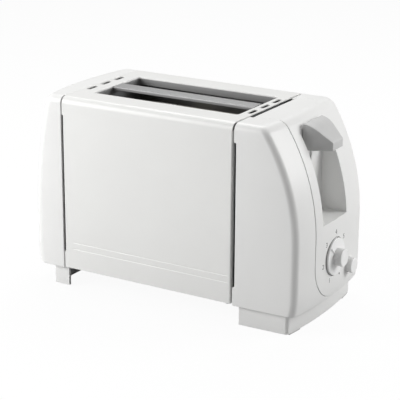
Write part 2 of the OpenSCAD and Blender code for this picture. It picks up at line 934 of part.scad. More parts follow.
module cord_gland() {
    y1 = half_w - skirt_in;
    color("white") translate([x_s1 + 26, 0, 10]) rotate([-90, 0, 0]) difference() {
        union() {
            translate([0, 0, y1 - 9]) cylinder(r = cord_r + 2, h = 9);
            translate([0, 0, y1 - skirt_wall - 2.6]) cylinder(r = cord_r + 3.4, h = 2);
            translate([0, 0, y1]) cylinder(r = cord_r + 3, h = 1.4);
        }
        translate([0, 0, y1 - 10]) cylinder(r = cord_r, h = 14);
    }
}

module base_screws() {
    color("gray") {
        for (b = cap_bosses) base_screw(b[0], b[1] * (half_w - boss_in), floor_z + 9);
        for (x = [x_c0 - 5, x_c1 + plate_t + 5], s = [-1, 1])
            base_screw(x, s * chassis_screw_y, floor_z + plate_t + 2);
        for (x = [x_s0 + 5, x_s1 - 5], s = [-1, 1])
            base_screw(x, s * hem_screw_y, floor_z + 2);
    }
}

module board_screws() {
    color("gray") for (p = posts) translate([board_x, p[0], p[1]]) rotate([0, 90, 0]) {
        translate([0, 0, -screw_head_h]) cylinder(r = screw_head_r, h = screw_head_h);
        translate([0, 0, -eps]) cylinder(r = screw_r, h = 12);
    }
}

outer_shell();
slot_divider();
left_end_cap();
right_end_cap();
control_panel();
base_plate();
left_foot_skirt();
right_foot_skirt();
rubber_pads();
tray_rails();
crumb_tray();
chassis_left();
chassis_right();
reflector_front();
reflector_back();
mica_front();
mica_centre();
mica_back();
ribbon_front();
ribbon_centre();
ribbon_back();
guard_front_outer();
guard_front_inner();
guard_back_inner();
guard_back_outer();
guide_rod();
lift_spring();
carriage_plate();
carriage_bush();
bread_rack_front();
bread_rack_back();
lever_arm();
lever_knob();
armature_plate();
magnet_core();
magnet_coil();
circuit_board();
potentiometer();
dial_shaft();
browning_dial();
cancel_switch();
cancel_button();
contact_block();
terminal_block();
cord_gland();
base_screws();
board_screws();
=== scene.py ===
"""White two-slice pop-up toaster: outer pieces modelled round the frame, finishes and a studio."""
import json
import math

import bmesh
import bpy
from bpy.props import FloatProperty, FloatVectorProperty, IntProperty, PointerProperty
from mathutils import Matrix, Vector


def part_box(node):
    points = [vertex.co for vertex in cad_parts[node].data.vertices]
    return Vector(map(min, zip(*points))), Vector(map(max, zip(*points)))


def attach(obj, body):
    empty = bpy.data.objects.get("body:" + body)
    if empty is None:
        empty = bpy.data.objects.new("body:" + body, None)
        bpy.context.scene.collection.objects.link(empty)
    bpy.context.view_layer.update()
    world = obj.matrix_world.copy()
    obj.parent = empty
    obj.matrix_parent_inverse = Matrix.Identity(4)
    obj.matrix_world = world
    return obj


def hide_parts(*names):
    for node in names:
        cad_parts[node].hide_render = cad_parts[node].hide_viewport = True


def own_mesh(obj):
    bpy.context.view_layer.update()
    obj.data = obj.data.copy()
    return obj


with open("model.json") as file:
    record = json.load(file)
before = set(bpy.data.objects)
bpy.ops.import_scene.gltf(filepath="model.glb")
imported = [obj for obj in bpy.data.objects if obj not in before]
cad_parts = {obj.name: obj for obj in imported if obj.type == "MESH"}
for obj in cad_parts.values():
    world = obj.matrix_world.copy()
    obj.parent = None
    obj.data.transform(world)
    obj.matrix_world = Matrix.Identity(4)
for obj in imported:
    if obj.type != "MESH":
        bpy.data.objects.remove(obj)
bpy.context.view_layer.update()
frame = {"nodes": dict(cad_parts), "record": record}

bl_info = {
    "name": "Pop-up toaster",
    "version": (1, 0, 0),
    "blender": (4, 5, 0),
    "location": "3D View > Sidebar > Toaster",
    "description": "Models and finishes a white two-slice pop-up toaster",
    "category": "Object",
}

MM = 0.001

# Places taken from the frame
SHELL_LO, SHELL_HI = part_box("outer_shell")
LEFT_LO, LEFT_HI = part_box("left_end_cap")
RIGHT_LO, RIGHT_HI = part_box("right_end_cap")
PANEL_LO, PANEL_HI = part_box("control_panel")
BAR_LO, BAR_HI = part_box("slot_divider")
KNOB_LO, KNOB_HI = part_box("lever_knob")
ARM_LO, ARM_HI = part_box("lever_arm")
DIAL_LO, DIAL_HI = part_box("browning_dial")
BUTTON_LO, BUTTON_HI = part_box("cancel_button")
LEFT_FOOT_LO, LEFT_FOOT_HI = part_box("left_foot_skirt")
RIGHT_FOOT_LO, RIGHT_FOOT_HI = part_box("right_foot_skirt")
GLAND_LO, GLAND_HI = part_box("cord_gland")
SPRING_LO, SPRING_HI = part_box("lift_spring")
HALF_W = SHELL_HI.y
TOP = SHELL_HI.z
PROUD = 0.4 * MM  # how far the panel stands out of the right end
END_X = PANEL_HI.x - PROUD
GAP = 0.25 * MM  # joint line round the panel
FAR = 50 * MM  # reach of a cutting block past what it cuts
SEAM_LOW, SEAM_HIGH = SHELL_LO.z + 16 * MM, SHELL_LO.z + 148 * MM
HELD_AT_SEAM, HELD_AT_TIP = 5 * MM, 9 * MM  # lengths of an end that keep their depth
TAPER_FROM = 50 * MM  # half width where an end starts to draw in
DIAL_Z = (DIAL_LO.z + DIAL_HI.z) / 2
BUTTON_Y = (BUTTON_LO.y + BUTTON_HI.y) / 2
BUTTON_Z = (BUTTON_LO.z + BUTTON_HI.z) / 2


# ---------- sizes and colours a user may change ----------


def length(name, text, value, low=0.0, high=500.0):
    """A length property given in millimetres."""
    return FloatProperty(
        name=name, description=text, default=value * MM, min=low * MM, max=high * MM,
        unit="LENGTH", precision=5,
    )


def colour(name, text, value):
    """A linear colour property."""
    return FloatVectorProperty(
        name=name, description=text, default=value, min=0, max=1, size=3, subtype="COLOR",
    )


class ToasterSizes(bpy.types.PropertyGroup):
    shell_edge: length("Shell edge", "Radius of the shell's long top edges", 7)
    shell_steel: length("Shell steel", "Thickness of the shell's steel", 1)
    hem: length("Hem", "Width of the hem turned in along the shell's foot", 9)
    slot_inset: length("Slot inset", "Distance from the shell's left edge to the slots", 16)
    slot_length: length("Slot length", "Length of the bread slots", 152)
    slot_half: length("Slots half width", "Half the width across both slots", 38.1)
    end_flange: length("End flange", "Width turned in at the shell's ends", 5)
    rim_depth: length("Rim depth", "Depth of the rim turned down round the slots", 2)
    rim_round: length("Rim round", "Radius of the bend at the rim", 0.9)
    slit_width: length("Slit width", "Width of the vent slits beside the slots", 4.8)
    wall: length("Wall", "Wall thickness of the mouldings", 2.6)
    right_fillet: length("Right fillet", "Radius round the right end face", 5.6)
    left_fillet: length("Left fillet", "Radius round the left end face", 7)
    right_bulge: length("Right bulge", "How far the right end bows out in plan", 5)
    left_bulge: length("Left bulge", "How far the left end bows out in plan", 7.5)
    right_lean: length("Right lean radius", "Radius that leans the right end in", 181, 120, 900)
    left_lean: length("Left lean radius", "Radius that leans the left end in", 440, 200, 900)
    right_upright: length("Right upright", "Height where the right end starts to lean", 80)
    left_upright: length("Left upright", "Height where the left end starts to lean", 70)
    taper: length("Taper", "How far an end draws in at its front and back", 2)
    toe_height: length("Toe height", "Height below which an end curves back in", 38)
    toe_radius: length("Toe radius", "Radius of the curve at an end's foot", 89)
    liner_depth: length("Liner depth", "How far the slots' steel liner reaches down", 7.4)
    bar_flange: length("Bar flange", "Height of the bar's turned-down sides", 3.4)
    recess_half: length("Recess half width", "Half the width of the lever's recess", 23.5)
    recess_floor: length("Recess floor", "Height of the recess floor", 92)
    recess_back: length("Recess depth", "Depth of the recess behind the end", 26.6)
    knob_flat: length("Knob flat", "Length of the flat on top of the knob", 7)
    knob_tip_half: length("Knob tip half width", "Half the width of the knob's tip", 10)
    knob_tip_height: length("Knob tip height", "Height of the knob's tip", 7.9)
    grip_radius: length("Grip radius", "Radius of the dial's grip", 8)
    disc_thickness: length("Disc thickness", "Thickness of the dial's disc", 1.8)
    dial_seat: length("Dial seat", "Radius of the shallow seat round the dial's disc", 17.9)
    mark_radius: length("Mark radius", "Distance of the dial's numbers from its axis", 22.5)
    mark_height: length("Mark height", "Height of the dial's numbers", 4.7)
    ribs: IntProperty(
        name="Ribs", description="Ribs round the dial's grip", default=40, min=12, max=80
    )


class ToasterColours(bpy.types.PropertyGroup):
    enamel: colour("Enamel", "White enamel of the steel shell", (0.80, 0.80, 0.785))
    moulding: colour("Moulding", "White of the moulded ends", (0.80, 0.80, 0.79))
    controls: colour("Controls", "White of the dial and button", (0.88, 0.88, 0.875))
    # The knob's white is set well below the controls': partly a greyer plastic, partly painted
    # shade standing in for the darker top of the knob.
    knob: colour("Knob", "Slightly greyer white of the lever knob", (0.58, 0.58, 0.575))
    ink: colour("Ink", "Printed numbers round the dial", (0.03, 0.03, 0.03))
    steel: colour("Steel", "Satin steel of the bar between the slots", (0.34, 0.34, 0.34))
    floor: colour("Floor", "Plain pale floor", (0.45, 0.45, 0.45))


# ---------- modelling helpers ----------


def clear():
    """Nothing selected, in object mode."""
    if bpy.context.mode != "OBJECT":
        bpy.ops.object.mode_set(mode="OBJECT")
    bpy.ops.object.select_all(action="DESELECT")


def hold(obj):
    """obj alone selected and active."""
    clear()
    obj.select_set(True)
    bpy.context.view_layer.objects.active = obj


def settle(name):
    """Names the new primitive and puts its place into its mesh."""
    obj = bpy.context.object
    obj.name = name
    obj.data.name = name
    bpy.ops.object.transform_apply(location=True, rotation=True, scale=True)
    return obj


def block(name, low, high):
    """A cube primitive between two corners."""
    clear()
    low, high = Vector(low), Vector(high)
    bpy.ops.mesh.primitive_cube_add(size=1, location=(low + high) / 2)
    bpy.context.object.scale = high - low
    return settle(name)


def drum(name, x0, x1, y, z, radius, sides=64, axis="X"):
    """A cylinder primitive along X between x0 and x1, or along Y with axis Y."""
    clear()
    middle = (x0 + x1) / 2
    turn = (0, math.pi / 2, 0) if axis == "X" else (math.pi / 2, 0, 0)
    place = (middle, y, z) if axis == "X" else (y, middle, z)
    bpy.ops.mesh.primitive_cylinder_add(
        vertices=sides, radius=radius, depth=x1 - x0, location=place, rotation=turn
    )
    return settle(name)


class Shaping:
    """Edit mode on one object."""

    def __init__(self, obj):
        self.obj = obj

    def __enter__(self):
        hold(self.obj)
        bpy.ops.object.mode_set(mode="EDIT")
        return self

    def __exit__(self, *_):
        bpy.ops.object.mode_set(mode="OBJECT")

    def pick(self, kind, test):
        """Selects the vertices, edges or faces that pass a test."""
        kinds = ("VERT", "EDGE", "FACE")
        bpy.context.tool_settings.mesh_select_mode = tuple(kind == k for k in kinds)
        mesh = bmesh.from_edit_mesh(self.obj.data)
        groups = dict(zip(kinds, (mesh.verts, mesh.edges, mesh.faces)))
        for group in groups.values():
            for part in group:
                part.select = False
        mesh.normal_update()
        chosen = [part for part in groups[kind] if test(part)]
        if not chosen:
            raise RuntimeError(f"nothing to select on {self.obj.name}")
        for part in chosen:
            part.select_set(True)
        bmesh.update_edit_mesh(self.obj.data)

    def round_off(self, radius, segments, test):
        """Bevels the edges that pass a test."""
        self.pick("EDGE", test)
        bpy.ops.mesh.bevel(offset=radius, segments=segments, affect="EDGES", clamp_overlap=False)

    def remove(self, test):
        """Deletes the faces that pass a test."""
        self.pick("FACE", test)
        bpy.ops.mesh.delete(type="FACE")

    def draw_out(self, x, y=0):
        """Extrudes what is selected along X or Y."""
        bpy.ops.mesh.extrude_region_move(TRANSFORM_OT_translate={"value": (x, y, 0)})

    def step_in(self, *steps):
        """Insets the selected faces by pairs of width and rise, in millimetres."""
        for width, rise in steps:
            bpy.ops.mesh.inset(thickness=width * MM, depth=rise * MM)

    def slice(self, axis, places):
        """Cuts the mesh through at planes across an axis."""
        normal = [0, 0, 0]
        normal["XYZ".index(axis)] = 1
        for place in places:
            spot = [0, 0, 0]
            spot["XYZ".index(axis)] = place
            bpy.ops.mesh.select_all(action="SELECT")
            bpy.ops.mesh.bisect(plane_co=spot, plane_no=normal)

    def tidy(self):
        """Merges doubles and turns the faces outwards."""
        bpy.ops.mesh.select_all(action="SELECT")
        bpy.ops.mesh.remove_doubles(threshold=0.000002)
        bpy.ops.mesh.normals_make_consistent(inside=False)


def steps(low, high, pitch):
    """Evenly spaced places between two ends, the ends left out."""
    count = max(1, round((high - low) / pitch))
    return [low + (high - low) * i / count for i in range(1, count)]


def at(value, target, slack=0.01 * MM):
    return abs(value - target) < slack


def along(edge, axis):
    """True if an edge runs along an axis."""
    a, b = (v.co for v in edge.verts)
    d = b - a
    return abs(d["XYZ".index(axis)]) > 0.999 * d.length


def mid(edge):
    return (edge.verts[0].co + edge.verts[1].co) / 2


def middle(face):
    return face.calc_center_median()


def apply(obj, kind, **settings):
    """Adds a modifier and applies it."""
    hold(obj)
    modifier = obj.modifiers.new(kind.lower(), kind)
    for key, value in settings.items():
        setattr(modifier, key, value)
    bpy.ops.object.modifier_apply(modifier=modifier.name)


def combine(obj, tool, operation):
    """Boolean of obj with tool, which is used up."""
    apply(obj, "BOOLEAN", object=tool, operation=operation, solver="EXACT")
    hold(tool)
    bpy.ops.object.delete()


def cut(obj, *tools):
    for tool in tools:
        combine(obj, tool, "DIFFERENCE")


def thicken(obj, thickness):
    """Gives a sheet a wall inside its surface."""
    apply(obj, "SOLIDIFY", thickness=thickness, offset=-1, use_even_offset=True,
          use_quality_normals=True)


def soften(obj, radius, segments=2, angle=50):
    """Rounds the sharp edges that are left."""
    apply(obj, "BEVEL", width=radius, segments=segments, limit_method="ANGLE",
          angle_limit=math.radians(angle), use_clamp_overlap=True, miter_outer="MITER_ARC")


def shade(obj, angle=32):
    """Smooth shading that keeps flat faces flat."""
    with Shaping(obj) as edit:
        edit.tidy()
    hold(obj)
    bpy.ops.object.shade_smooth_by_angle(angle=math.radians(angle))
    apply(obj, "WEIGHTED_NORMAL", keep_sharp=True, weight=60)


def weld(name, objs):
    """Joins several objects into one."""
    clear()
    for obj in objs:
        obj.select_set(True)
    bpy.context.view_layer.objects.active = objs[0]
    bpy.ops.object.join()
    obj = bpy.context.object
    obj.name = name
    obj.data.name = name
    return obj


def hand_over(obj, body, slot, *nodes, material=None):
    """Gives a finished piece its finish, its body and the nodes it stands for."""
    obj.data.materials.clear()
    obj.data.materials.append(material or slot_finish(slot))
    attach(obj, body)
    if nodes:
        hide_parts(*nodes)


# ---------- the shape of the two ends ----------


class End:
    """One end of the toaster: where it starts, how far it reaches and how it curves."""

    def __init__(self, seam, tip, bulge, lean_radius, upright):
        sizes = bpy.context.scene.toaster_sizes
        self.seam = seam
        self.out = 1 if tip > seam else -1
        self.length = (tip - seam) * self.out
        self.upright = upright
        self.lean_radius = lean_radius
        self.taper = sizes.taper
        self.toe_height = sizes.toe_height
        self.toe_radius = sizes.toe_radius
        half = HALF_W - sizes.taper
        self.bulge_radius = (half * half + bulge * bulge) / (2 * bulge)
        self.side_radius = (self.length**2 + sizes.taper**2) / (2 * sizes.taper)

    def set_back(self, y, z):
        """How far the end face lies behind the end's most proud line."""
        up = max(z - self.upright, 0)
        lean = self.lean_radius - math.sqrt(self.lean_radius**2 - up * up)
        bow = self.bulge_radius - math.sqrt(self.bulge_radius**2 - y * y)
        toe = max(self.toe_height - z, 0) ** 2 / (2 * self.toe_radius)
        return lean + bow + toe

    def form(self, obj):
        """Bows, leans and tapers a piece that was modelled square."""
        for vertex in obj.data.vertices:
            x, y, z = vertex.co
            depth = (x - self.seam) * self.out
            if depth <= 0:
                continue
            share = (depth - HELD_AT_SEAM) / (self.length - HELD_AT_SEAM - HELD_AT_TIP)
            depth -= self.set_back(y, z) * min(max(share, 0), 1)
            draw = self.side_radius - math.sqrt(self.side_radius**2 - depth * depth)
            share = min(max((abs(y) - TAPER_FROM) / (HALF_W - TAPER_FROM), 0), 1)
            vertex.co.x = self.seam + self.out * depth
            vertex.co.y = y - math.copysign(draw * share, y)
        obj.data.update()


def right_end():
    s = bpy.context.scene.toaster_sizes
    return End(RIGHT_LO.x + 0.5 * MM, END_X, s.right_bulge, s.right_lean, s.right_upright)


def left_end():
    s = bpy.context.scene.toaster_sizes
    return End(LEFT_HI.x, LEFT_LO.x, s.left_bulge, s.left_lean, s.left_upright)


def panel_block(grow, x0, x1):
    """The control panel's outline as a square block, with its two lower corners rounded."""
    low, high = PANEL_LO.z - grow, TOP + FAR
    y0, y1 = PANEL_LO.y - grow, PANEL_HI.y + grow
    obj = block("panel_outline", (x0, y0, low), (x1, y1, high))
    with Shaping(obj) as edit:
        for y, radius, segments in ((y0, 35.5 * MM, 20), (y1, 30 * MM, 18)):
            edit.round_off(radius + grow, segments, lambda e: along(e, "X")
                           and at(mid(e).y, y) and at(mid(e).z, low))
    return obj


def square_cap(name, end, fillet, low):
    """A moulded end as a square-ended shell, open at its foot and its seam."""
    sizes = bpy.context.scene.toaster_sizes
    tip = end.seam + end.out * end.length
    x0, x1 = min(end.seam, tip), max(end.seam, tip)
    obj = block(name, (x0, -HALF_W, low), (x1, HALF_W, TOP))
    with Shaping(obj) as edit:
        edit.round_off(sizes.shell_edge, 8, lambda e: along(e, "X") and at(mid(e).z, TOP))
        edit.round_off(fillet, 6, lambda e: all(at(v.co.x, tip) for v in e.verts)
                       and not at(mid(e).z, low))
        edit.remove(lambda f: f.normal.z < -0.9 or f.normal.x * end.out < -0.9)
    thicken(obj, sizes.wall)
    return obj


def seam_notches(x0, x1):
    """Blocks that widen a seam at the front and back."""
    deep = 4 * MM
    return [
        block("notch", (x0, side * HALF_W - deep, SEAM_LOW), (x1, side * HALF_W + deep, SEAM_HIGH))
        for side in (-1, 1)
    ]


# ---------- finishes ----------


SURFACE_INPUTS = (
    ("Vector", "NodeSocketVector"), ("Base", "NodeSocketColor"), ("Tone", "NodeSocketColor"),
    ("Patch Scale", "NodeSocketFloat"), ("Grain Scale", "NodeSocketFloat"),
    ("Grain Depth", "NodeSocketFloat"), ("Smooth", "NodeSocketFloat"),
    ("Rough", "NodeSocketFloat"),
)
SURFACE_OUTPUTS = (("Color", "NodeSocketColor"), ("Roughness", "NodeSocketFloat"),
                   ("Normal", "NodeSocketVector"))


def surface_group():
    """Shared fine grain and soft tone patches, for every finish."""
    group = bpy.data.node_groups.get("surface_grain")
    if group:
        return group
    group = bpy.data.node_groups.new("surface_grain", "ShaderNodeTree")
    for way, sockets in (("INPUT", SURFACE_INPUTS), ("OUTPUT", SURFACE_OUTPUTS)):
        for name, kind in sockets:
            group.interface.new_socket(name=name, in_out=way, socket_type=kind)
    nodes = group.nodes
    given = nodes.new("NodeGroupInput").outputs
    result = nodes.new("NodeGroupOutput").inputs
    patch, grain = nodes.new("ShaderNodeTexNoise"), nodes.new("ShaderNodeTexNoise")
    patch.inputs["Detail"].default_value = 3
    grain.inputs["Detail"].default_value = 2
    spread = nodes.new("ShaderNodeMapRange")
    spread.inputs["From Min"].default_value = 0.35
    spread.inputs["From Max"].default_value = 0.65
    blend, rough = nodes.new("ShaderNodeMix"), nodes.new("ShaderNodeMix")
    blend.data_type = "RGBA"
    rough.data_type = "FLOAT"
    bump = nodes.new("ShaderNodeBump")
    bump.inputs["Distance"].default_value = 0.1 * MM
    for start, end in (
        (given["Vector"], patch.inputs["Vector"]),
        (given["Patch Scale"], patch.inputs["Scale"]),
        (patch.outputs["Fac"], spread.inputs["Value"]),
        (spread.outputs["Result"], blend.inputs["Factor"]),
        (given["Base"], blend.inputs["A"]),
        (given["Tone"], blend.inputs["B"]),
        (blend.outputs["Result"], result["Color"]),
        (spread.outputs["Result"], rough.inputs["Factor"]),
        (given["Smooth"], rough.inputs["A"]),
        (given["Rough"], rough.inputs["B"]),
        (rough.outputs["Result"], result["Roughness"]),
        (given["Vector"], grain.inputs["Vector"]),
        (given["Grain Scale"], grain.inputs["Scale"]),
        (grain.outputs["Fac"], bump.inputs["Height"]),
        (given["Grain Depth"], bump.inputs["Strength"]),
        (bump.outputs["Normal"], result["Normal"]),
    ):
        group.links.new(start, end)
    return group


def finish_with_grain(name, base, tone, smooth, rough, patch, grain, depth=0.12, metallic=0,
                      stretch=(1, 1, 1)):
    """A procedural finish: tone patches, roughness that varies with them and a fine grain."""
    found = bpy.data.materials.get(name)
    if found:
        return found
    made = bpy.data.materials.new(name)
    made.use_nodes = True
    nodes, links = made.node_tree.nodes, made.node_tree.links
    shader = nodes["Principled BSDF"]
    place = nodes.new("ShaderNodeTexCoord")
    mapping = nodes.new("ShaderNodeMapping")
    mapping.inputs["Scale"].default_value = stretch
    links.new(place.outputs["Object"], mapping.inputs["Vector"])
    surface = nodes.new("ShaderNodeGroup")
    surface.node_tree = surface_group()
    links.new(mapping.outputs["Vector"], surface.inputs["Vector"])
    for key, value in (("Base", (*base, 1)), ("Tone", (*tone, 1)), ("Patch Scale", patch),
                       ("Grain Scale", grain), ("Grain Depth", depth), ("Smooth", smooth),
                       ("Rough", rough)):
        surface.inputs[key].default_value = value
    for source, port in (("Color", "Base Color"), ("Roughness", "Roughness"),
                         ("Normal", "Normal")):
        links.new(surface.outputs[source], shader.inputs[port])
    shader.inputs["Metallic"].default_value = metallic
    shader.inputs["IOR"].default_value = 1.46
    return made


def shift(rgb, amount):
    """A colour made a little darker or lighter."""
    return tuple(min(max(c * (1 + amount), 0), 1) for c in rgb)


# Finishes whose colour a user may change: the material's name, how far its patches differ, then
# smooth, rough, patch, grain, depth, metallic and stretch
COLOURED_FINISHES = {
    "enamel": ("white_enamel", -0.015, 0.3, 0.36, 14, 420, 0.1),
    "moulding": ("white_moulding", -0.02, 0.34, 0.42, 16, 2200, 0.16),
    "controls": ("white_controls", -0.025, 0.3, 0.4, 30, 2600, 0.14),
    # the knob's darker white is partly painted shade for the top of the knob
    "knob": ("knob_moulding", -0.06, 0.32, 0.44, 60, 1800, 0.3),
    "ink": ("printed_ink", 0.3, 0.5, 0.6, 200, 3000),
    "steel": ("satin_steel", -0.12, 0.5, 0.6, 60, 900, 0.2, 0.85, (0.04, 1, 1)),
    "floor": ("pale_floor", -0.01, 0.7, 0.8, 3, 200, 0),
}
# The slots whose finish takes one of those colours
SLOT_COLOURS = {"skirt_plastic": "moulding", "cap_plastic": "moulding", "shell_paint": "enamel",
                "panel_plastic": "moulding", "knob_plastic": "knob", "dial_plastic": "controls",
                "button_plastic": "controls", "divider_steel": "steel"}


def coloured(key):
    """The finish made from one of the colours in the sidebar."""
    name, amount, *grain = COLOURED_FINISHES[key]
    base = getattr(bpy.context.scene.toaster_colours, key)
    return finish_with_grain(name, base, shift(base, amount), *grain)


# The other slots: base and patch colours, then the same columns
PLAIN_FINISHES = {
    "zinc_steel": ((0.5, 0.51, 0.52), (0.4, 0.41, 0.42), 0.32, 0.5, 70, 900, 0.2, 0.9),
    "tray_steel": ((0.55, 0.55, 0.56), (0.46, 0.46, 0.47), 0.3, 0.45, 30, 1200, 0.2, 0.95,
                   (0.05, 1, 1)),
    "reflector_aluminium": ((0.26, 0.26, 0.26), (0.19, 0.18, 0.165), 0.25, 0.5, 25, 800, 0.12, 0.9),
    "mica_board": ((0.15, 0.125, 0.1), (0.1, 0.085, 0.07), 0.45, 0.7, 90, 600, 0.5),
    "heating_ribbon": ((0.2, 0.16, 0.14), (0.13, 0.12, 0.14), 0.4, 0.6, 60, 1500, 0.3, 0.8),
    "guard_wire": ((0.24, 0.235, 0.22), (0.17, 0.16, 0.145), 0.25, 0.45, 50, 1500, 0.1, 0.95),
    "rack_steel": ((0.3, 0.29, 0.28), (0.2, 0.18, 0.16), 0.35, 0.55, 60, 1200, 0.2, 0.9),
    "spring_steel": ((0.4, 0.4, 0.41), (0.3, 0.3, 0.31), 0.25, 0.4, 80, 1500, 0.12, 0.95),
    "bush_nylon": ((0.72, 0.69, 0.6), (0.64, 0.61, 0.52), 0.4, 0.5, 60, 2000, 0.2),
    "core_iron": ((0.12, 0.12, 0.13), (0.08, 0.08, 0.09), 0.45, 0.6, 60, 900, 0.3, 0.7,
                  (1, 1, 0.1)),
    "coil_copper": ((0.42, 0.16, 0.07), (0.28, 0.1, 0.05), 0.3, 0.45, 400, 700, 0.6, 0.8,
                    (0.05, 0.05, 1)),
    "board_green": ((0.03, 0.14, 0.06), (0.05, 0.2, 0.09), 0.3, 0.45, 160, 1500, 0.2),
    "dark_plastic": ((0.035, 0.035, 0.036), (0.05, 0.05, 0.05), 0.4, 0.55, 60, 2200, 0.3),
    "shaft_aluminium": ((0.6, 0.6, 0.61), (0.5, 0.5, 0.51), 0.25, 0.4, 60, 900, 0.2, 0.95,
                        (1, 0.1, 0.1)),
    "pad_rubber": ((0.66, 0.66, 0.65), (0.6, 0.6, 0.59), 0.7, 0.85, 90, 1500, 0.4),
}


def slot_finish(slot):
    """The finish of every piece with that slot."""
    if slot in SLOT_COLOURS:
        return coloured(SLOT_COLOURS[slot])
    return finish_with_grain(slot + "_finish", *PLAIN_FINISHES[slot])


# ---------- operators, one for each piece or group of like pieces ----------


class TOASTER_OT_shell(bpy.types.Operator):
    """Model the painted steel shell"""

    bl_idname = "toaster.shell"
    bl_label = "Steel shell"

    def execute(self, context):
        s = context.scene.toaster_sizes
        x0, x1, low = SHELL_LO.x, SHELL_HI.x, SHELL_LO.z
        slot0 = x0 + s.slot_inset
        slot1 = slot0 + s.slot_length
        obj = block("steel_shell", (x0, -HALF_W, low), (x1, HALF_W, TOP))
        with Shaping(obj) as edit:
            edit.round_off(s.shell_edge, 10, lambda e: along(e, "X") and at(mid(e).z, TOP))
            edit.remove(lambda f: f.normal.z < -0.9 or abs(f.normal.x) > 0.9)
            for side in (-1, 1):
                edit.pick("EDGE", lambda e: along(e, "X") and at(mid(e).z, low)
                          and at(mid(e).y, side * HALF_W))
                edit.draw_out(0, -side * s.hem)
                # both ends turned in, as seen through the seams
                for x in (x0, x1):
                    edit.pick("EDGE", lambda e: e.is_boundary and along(e, "Z")
                              and at(mid(e).x, x) and at(mid(e).y, side * HALF_W))
                    edit.draw_out(0, -side * s.end_flange)
        thicken(obj, s.shell_steel)
        cut(obj, *seam_notches(LEFT_HI.x + 0.4 * MM, LEFT_HI.x + 2.6 * MM))
        with Shaping(obj) as edit:
            edit.round_off(0.9 * MM, 3, lambda e: along(e, "Z") and at(mid(e).x, x1)
                           and at(abs(mid(e).y), HALF_W))
        # a lip that closes the top of the left seam
        flat = HALF_W - 7.8 * MM
        lip = block("lip", (x0 - 1.1 * MM, -flat, TOP - s.shell_steel), (x0 + MM, flat, TOP))
        combine(obj, lip, "UNION")
        # the slots' opening and the rim turned down round it
        rim = block("rim", (slot0 - MM, -s.slot_half - MM, TOP - s.rim_depth),
                    (slot1 + MM, s.slot_half + MM, TOP - MM / 2))
        opening = block("opening", (slot0, -s.slot_half, TOP - 9 * MM),
                        (slot1, s.slot_half, TOP + 9 * MM))
        for part, radius in ((rim, 3 * MM), (opening, 2 * MM)):
            with Shaping(part) as edit:
                edit.round_off(radius, 5, lambda e: along(e, "Z"))
        combine(obj, rim, "UNION")
        cut(obj, opening)
        with Shaping(obj) as edit:
            edit.tidy()
            edit.round_off(s.rim_round, 4, lambda e: at(mid(e).z, TOP)
                           and all(abs(v.co.y) < s.slot_half + MM for v in e.verts)
                           and any(abs(f.normal.z) < 0.3 for f in e.link_faces)
                           and slot0 - MM < mid(e).x < slot1 + MM)
        half, reach, pitch = s.slit_width / 2, 7.5 * MM, 22.5 * MM
        for x in (x0 + 3.4 * MM, x1 - 4.6 * MM):
            for y in (-pitch, 0, pitch):
                slit = block("slit", (x - half, y - reach, TOP - 2 * MM),
                             (x + half, y + reach, TOP + 4 * MM))
                with Shaping(slit) as edit:
                    edit.round_off(0.95 * half, 4, lambda e: along(e, "Z"))
                cut(obj, slit)
        soften(obj, 0.22 * MM, 2, 60)
        # two shallow beads pressed along the foot of the front and back
        with Shaping(obj) as edit:
            bead, start, stop = 0.9 * MM, x0 + 10 * MM, x1 - 3 * MM
            places = [low + h * MM for h in (19.2, 25.4)]
            edit.slice("Z", [p + d for p in places for d in (0, bead)])
            edit.slice("X", [start, stop])
            edit.pick("FACE", lambda f: at(abs(middle(f).y), HALF_W)
                      and start < middle(f).x < stop
                      and any(p < middle(f).z < p + bead for p in places))
            bpy.ops.mesh.inset(thickness=0.4 * MM, depth=-0.25 * MM, use_even_offset=True)
        shade(obj)
        hand_over(obj, "casing", "shell_paint", "outer_shell")
        return {"FINISHED"}


class TOASTER_OT_divider(bpy.types.Operator):
    """Model the satin steel bar between the slots"""

    bl_idname = "toaster.divider"
    bl_label = "Slot bar"

    def execute(self, context):
        s = context.scene.toaster_sizes
        x0 = SHELL_LO.x + s.slot_inset + 1.2 * MM
        x1 = x0 + s.slot_length - 2.4 * MM
        obj = block("slot_bar", (x0, BAR_LO.y, TOP - s.bar_flange), (x1, BAR_HI.y, BAR_HI.z))
        shelf = TOP - 2.2 * MM
        with Shaping(obj) as edit:
            edit.round_off(1.1 * MM, 4, lambda e: along(e, "X") and at(mid(e).z, BAR_HI.z))
            edit.slice("Z", [shelf])
            for side, reach in ((-1, x0 - BAR_LO.x), (1, BAR_HI.x - x1)):
                edit.pick("FACE", lambda f: f.normal.x * side > 0.9 and middle(f).z < shelf)
                edit.draw_out(side * reach)
            edit.remove(lambda f: f.normal.z < -0.9)
            edit.remove(lambda f: abs(f.normal.x) > 0.9 and middle(f).z < shelf)
        thicken(obj, 0.9 * MM)
        soften(obj, 0.15 * MM, 2, 60)
        shade(obj)
        hand_over(obj, "casing", "divider_steel", "slot_divider")
        return {"FINISHED"}


class TOASTER_OT_liner(bpy.types.Operator):
    """Model the steel liner that stands inside the slots' rim"""

    bl_idname = "toaster.liner"
    bl_label = "Slot liner"

    def execute(self, context):
        s = context.scene.toaster_sizes
        x0 = SHELL_LO.x + s.slot_inset
        wall, inset = 0.7 * MM, 0.05 * MM
        low, high = TOP - s.liner_depth, TOP - 1.3 * MM
        obj = block("slot_liner", (x0 + inset, -s.slot_half + inset, low),
                    (x0 + s.slot_length - inset, s.slot_half - inset, high))
        with Shaping(obj) as edit:
            edit.round_off(2 * MM, 5, lambda e: along(e, "Z"))
            edit.remove(lambda f: abs(f.normal.z) > 0.9)
        thicken(obj, wall)
        soften(obj, 0.15 * MM, 2, 60)
        shade(obj)
        hand_over(obj, "casing", "divider_steel")
        return {"FINISHED"}


